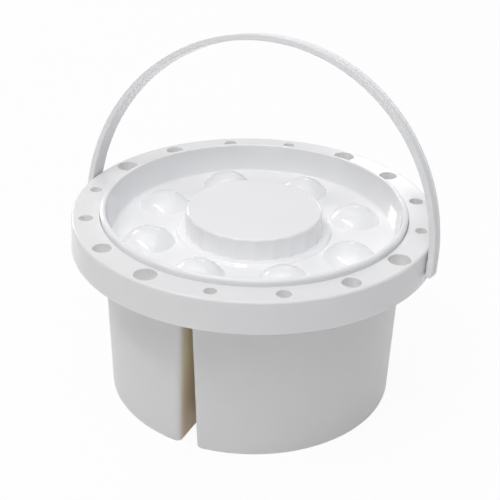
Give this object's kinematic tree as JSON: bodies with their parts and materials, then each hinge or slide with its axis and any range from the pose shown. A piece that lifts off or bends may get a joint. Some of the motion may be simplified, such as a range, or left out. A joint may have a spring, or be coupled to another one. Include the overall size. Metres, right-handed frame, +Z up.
{
  "type": "brush washer",
  "caption": "Round plastic brush washer with separate rinsing cups, a brush-holding ring, a palette lid and a bail handle.",
  "frame": {"origin": "on the floor under the centre of the tub, the centre of the bottom of the bounding box", "axes": "+Z up; X along the handle's hinge line; the handle leans back towards +Y and one slot of the tub faces -Y"},
  "size_m": [0.1906, 0.1836, 0.1829],
  "materials": {
    "tub_plastic": "satin moulded white polypropylene",
    "ring_plastic": "smooth moulded white plastic",
    "lid_plastic": "glossy moulded white plastic",
    "handle_plastic": "smooth moulded white plastic"
  },
  "bodies": {
    "tub": {"tub": "tub_plastic", "brush_ring": "ring_plastic"},
    "lid": {"palette_lid": "lid_plastic"},
    "handle": {"handle": "handle_plastic"}
  },
  "joints": [
    {"name": "handle_hinge", "type": "hinge", "parent": "tub", "child": "handle", "pos_m": [0, 0, 0.089], "axis": [1, 0, 0], "range_deg": [-76.7, 103.3]},
    {"name": "lid_lift", "type": "slide", "parent": "tub", "child": "lid", "axis": [0, 0, 1], "range_m": [0, 0.03]}
  ]
}
